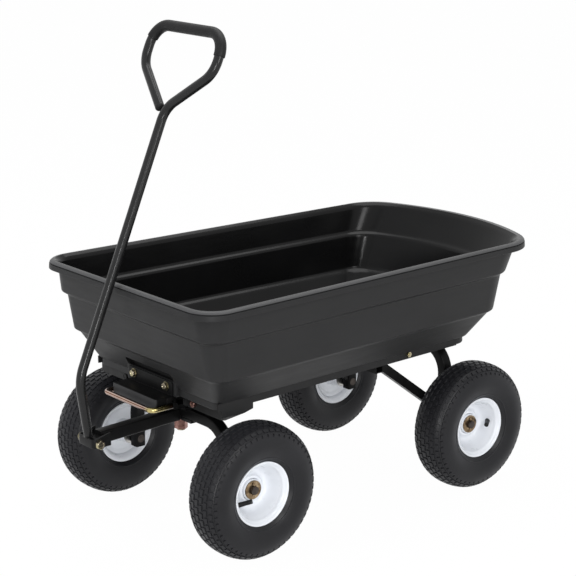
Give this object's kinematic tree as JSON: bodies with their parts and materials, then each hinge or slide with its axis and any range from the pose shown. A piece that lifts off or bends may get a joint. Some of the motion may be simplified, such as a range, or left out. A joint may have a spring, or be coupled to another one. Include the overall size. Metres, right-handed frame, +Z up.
{
  "type": "tipping dump cart",
  "caption": "Garden dump cart: moulded tub that tips about a rear hinge on a steel chassis, with a release bail, steering front axle, folding loop handle and pneumatic wheels.",
  "frame": {"origin": "middle of the bounding box on the ground", "axes": "-Y towards the handle end, +Z up, +X to the side seen in the picture"},
  "size_m": [0.539, 1.0011, 0.9614],
  "materials": {
    "tub_plastic": "satin moulded plastic, charcoal",
    "frame_black": "black powder coat, half gloss",
    "yellow_zinc": "yellow zinc plate",
    "bright_steel": "plain steel with grey seals",
    "rim_white": "white gloss paint",
    "tyre_rubber": "dull black rubber",
    "black_rubber": "black rubber",
    "grip_foam": "black sleeve"
  },
  "bodies": {
    "chassis": {"spine": "frame_black", "king_plate": "frame_black", "cross_arms": "frame_black", "rear_arch": "frame_black", "rear_stubs": "frame_black", "braces": "frame_black", "hinge_ears": "frame_black", "striker": "frame_black", "kingpin": "yellow_zinc", "kingpin_nut": "yellow_zinc", "hinge_bolts": "yellow_zinc", "hinge_nuts": "yellow_zinc", "bumpers": "black_rubber", "rear_washers": "yellow_zinc", "rear_split_pins": "yellow_zinc"},
    "bed": {"tub": "tub_plastic", "rail_left": "frame_black", "rail_right": "frame_black", "rail_bolts": "yellow_zinc", "rail_nuts": "yellow_zinc", "gusset_bolts": "yellow_zinc", "hinge_brackets": "frame_black", "latch_bracket": "frame_black", "bracket_bolts": "yellow_zinc", "bracket_washers": "yellow_zinc", "bracket_nuts": "yellow_zinc"},
    "release_bail": {"bail": "yellow_zinc", "latch_shaft": "yellow_zinc", "latch_hook": "frame_black"},
    "front_axle": {"front_arch": "frame_black", "front_stubs": "frame_black", "head_plates": "frame_black", "thrust_washer": "yellow_zinc", "drawbar": "frame_black", "pivot_tube": "frame_black", "front_washers": "yellow_zinc", "front_split_pins": "yellow_zinc"},
    "handle": {"handle_tube": "frame_black", "clevis": "frame_black", "handle_bolt": "yellow_zinc", "handle_nut": "yellow_zinc", "grip": "grip_foam", "end_plug": "black_rubber"},
    "wheel_front_left": {"tyre_front_left": "tyre_rubber", "rim_front_left": "rim_white", "bearings_front_left": "bright_steel", "valve_front_left": "black_rubber"},
    "wheel_front_right": {"tyre_front_right": "tyre_rubber", "rim_front_right": "rim_white", "bearings_front_right": "bright_steel", "valve_front_right": "black_rubber"},
    "wheel_rear_left": {"tyre_rear_left": "tyre_rubber", "rim_rear_left": "rim_white", "bearings_rear_left": "bright_steel", "valve_rear_left": "black_rubber"},
    "wheel_rear_right": {"tyre_rear_right": "tyre_rubber", "rim_rear_right": "rim_white", "bearings_rear_right": "bright_steel", "valve_rear_right": "black_rubber"}
  },
  "joints": [
    {"name": "tub_tilt", "type": "hinge", "parent": "chassis", "child": "bed", "pos_m": [0, 0.32077, 0.272], "axis": [-1, 0, 0], "range_deg": [0, 80]},
    {"name": "bail_lift", "type": "hinge", "parent": "bed", "child": "release_bail", "pos_m": [0, -0.33733, 0.271], "axis": [-1, 0, 0], "range_deg": [0, 28]},
    {"name": "steering", "type": "hinge", "parent": "chassis", "child": "front_axle", "pos_m": [0, -0.26673, 0.23], "axis": [0, 0, 1], "range_deg": [-20, 20]},
    {"name": "handle_swing", "type": "hinge", "parent": "front_axle", "child": "handle", "pos_m": [0, -0.47223, 0.212], "axis": [1, 0, 0], "range_deg": [0, 120]},
    {"name": "spin_front_left", "type": "hinge", "parent": "front_axle", "child": "wheel_front_left", "pos_m": [-0.218, -0.26673, 0.13], "axis": [1, 0, 0], "continuous": true},
    {"name": "spin_front_right", "type": "hinge", "parent": "front_axle", "child": "wheel_front_right", "pos_m": [0.218, -0.26673, 0.13], "axis": [1, 0, 0], "continuous": true},
    {"name": "spin_rear_left", "type": "hinge", "parent": "chassis", "child": "wheel_rear_left", "pos_m": [-0.218, 0.29627, 0.13], "axis": [1, 0, 0], "continuous": true},
    {"name": "spin_rear_right", "type": "hinge", "parent": "chassis", "child": "wheel_rear_right", "pos_m": [0.218, 0.29627, 0.13], "axis": [1, 0, 0], "continuous": true}
  ]
}
